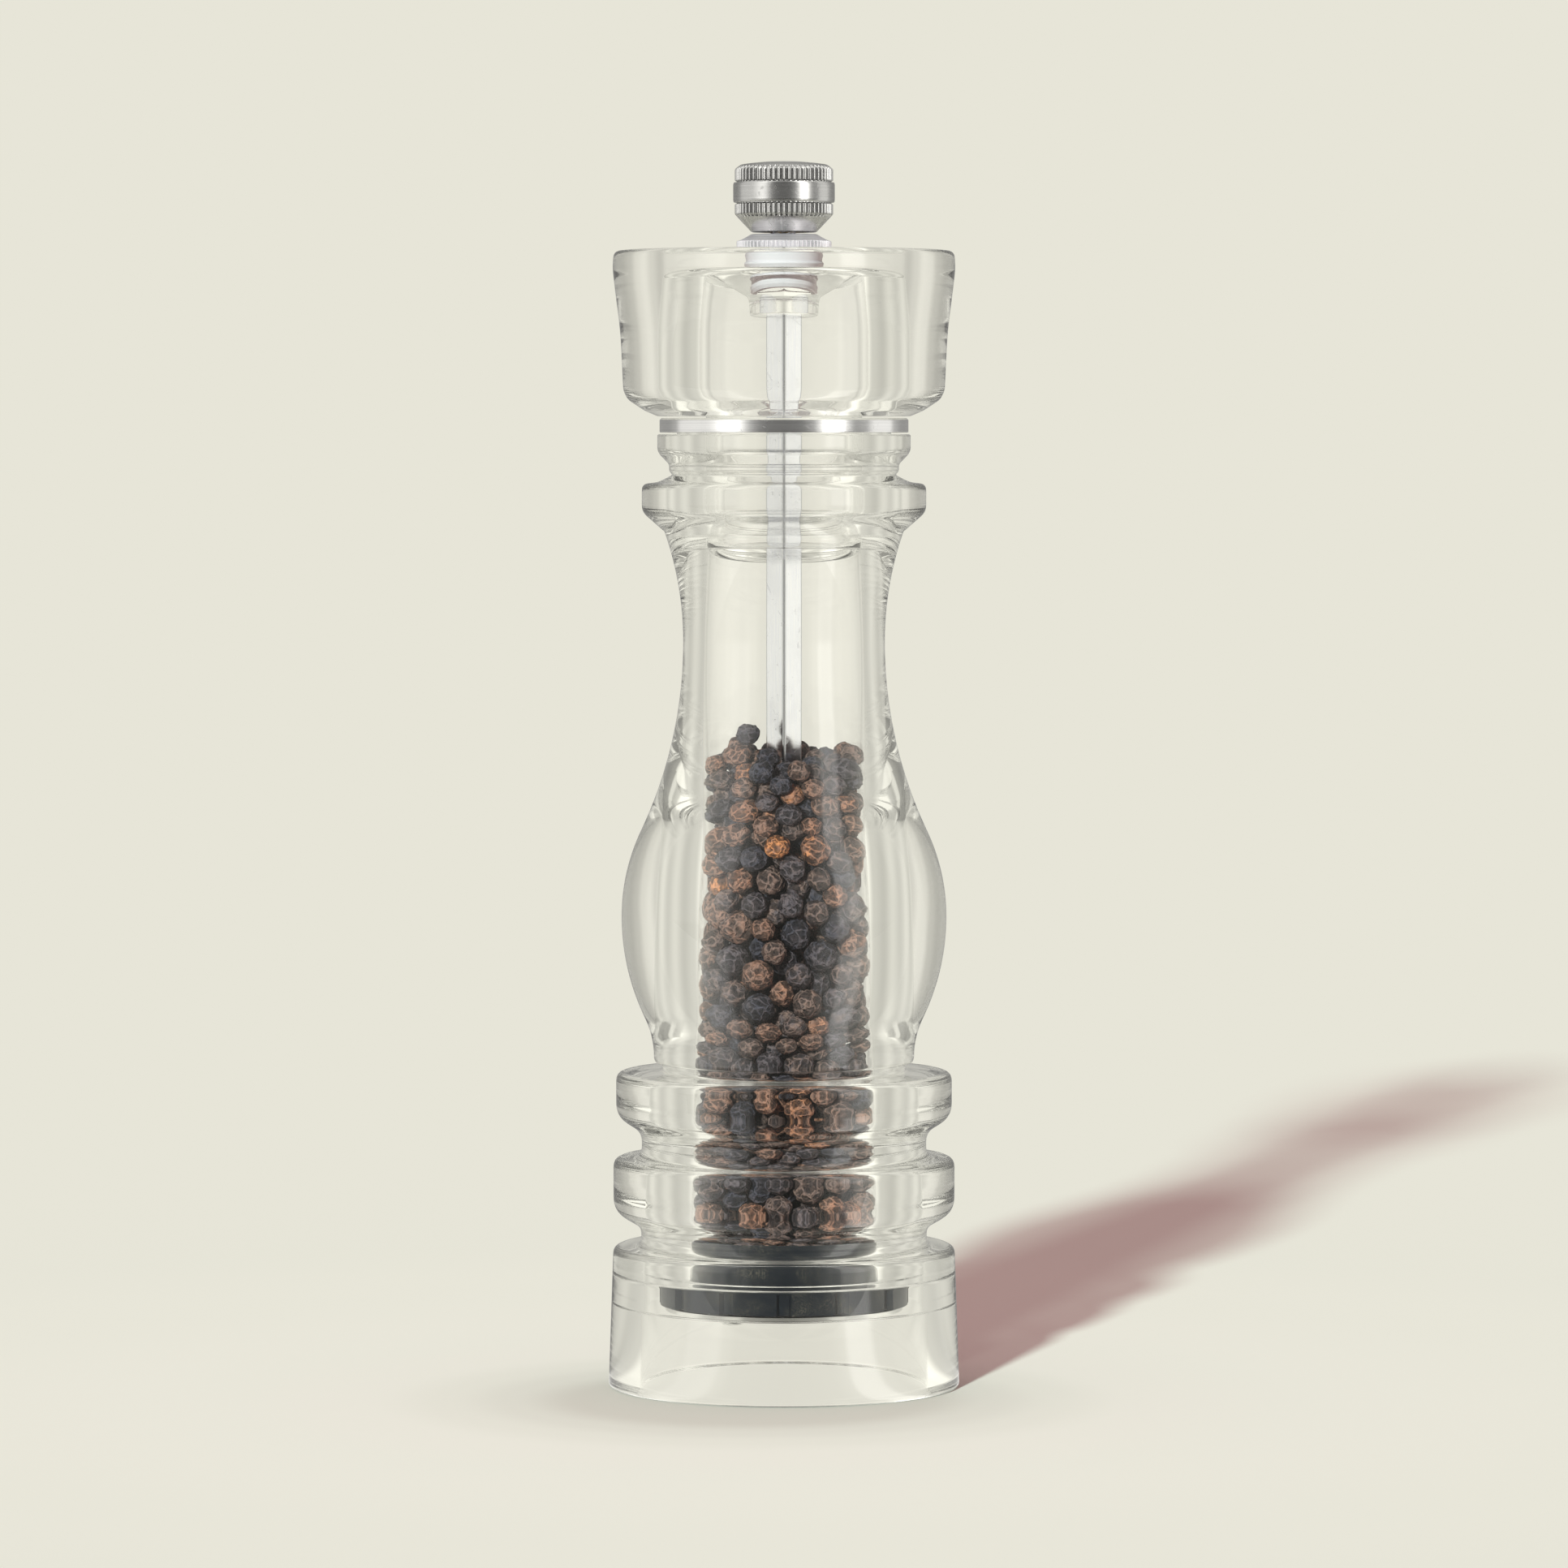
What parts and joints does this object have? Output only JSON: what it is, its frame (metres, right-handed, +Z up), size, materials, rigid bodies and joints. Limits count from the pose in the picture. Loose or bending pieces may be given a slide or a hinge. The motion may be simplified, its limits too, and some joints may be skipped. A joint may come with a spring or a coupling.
{
  "type": "pepper mill",
  "caption": "Clear turned pepper mill with a flared twist head, square drive shaft, knurled grind knob, steel neck ring and a burr grinder in its foot.",
  "frame": {"origin": "centre of the foot, on the table it stands on", "axes": "+Z up along the mill's turning axis; the faces of the square shaft are at 45 degrees to X and Y, with an edge towards -Y, the front"},
  "size_m": [0.0632, 0.0632, 0.22],
  "materials": {
    "clear_acrylic": "thick clear acrylic, polished",
    "polished_steel": "stainless steel, turned satin",
    "satin_metal": "plated, fine turned satin",
    "satin_aluminium": "drawn bar, satin",
    "brass": "turned",
    "black_plastic": "moulded, satin",
    "white_plastic": "moulded acetal",
    "burr_steel": "case-hardened, dark",
    "peppercorn": "dried, wrinkled"
  },
  "bodies": {
    "body": {"body_shell": "clear_acrylic", "neck_ring": "polished_steel", "grinder_housing": "black_plastic", "burr_ring": "burr_steel", "burr_clamp_plate": "polished_steel", "plate_screw_1": "polished_steel", "plate_screw_2": "polished_steel", "plate_screw_3": "polished_steel", "peppercorns": "peppercorn"},
    "drive": {"drive_sleeve": "white_plastic", "burr_spring": "satin_metal"},
    "spindle": {"shaft": "satin_aluminium", "burr_cone": "burr_steel", "spring_seat": "polished_steel", "cone_washer": "polished_steel", "cone_screw": "polished_steel"},
    "head": {"head_shell": "clear_acrylic", "head_plug": "clear_acrylic", "head_collar": "satin_metal"},
    "knob": {"knob_body": "satin_metal", "knob_band": "satin_metal", "knob_top_disc": "polished_steel", "knob_thread_insert": "brass"}
  },
  "joints": [
    {"name": "head_turn", "type": "hinge", "parent": "body", "child": "drive", "pos_m": [0, 0, 0.19], "axis": [0, 0, 1], "continuous": true},
    {"name": "spindle_lift", "type": "slide", "parent": "drive", "child": "spindle", "axis": [0, 0, 1], "range_m": [-0.0012, 0.0004], "deforming": ["burr_spring"]},
    {"name": "head_lift_off", "type": "slide", "parent": "drive", "child": "head", "axis": [0, 0, 1], "range_m": [0, 0.075]},
    {"name": "knob_turn", "type": "hinge", "parent": "head", "child": "knob", "pos_m": [0, 0, 0.213], "axis": [0, 0, 1], "range_deg": [-181, 541]}
  ],
  "couplings": [
    {"joint": "knob_turn", "follows": "spindle_lift", "rad_per_m": -7854}
  ]
}
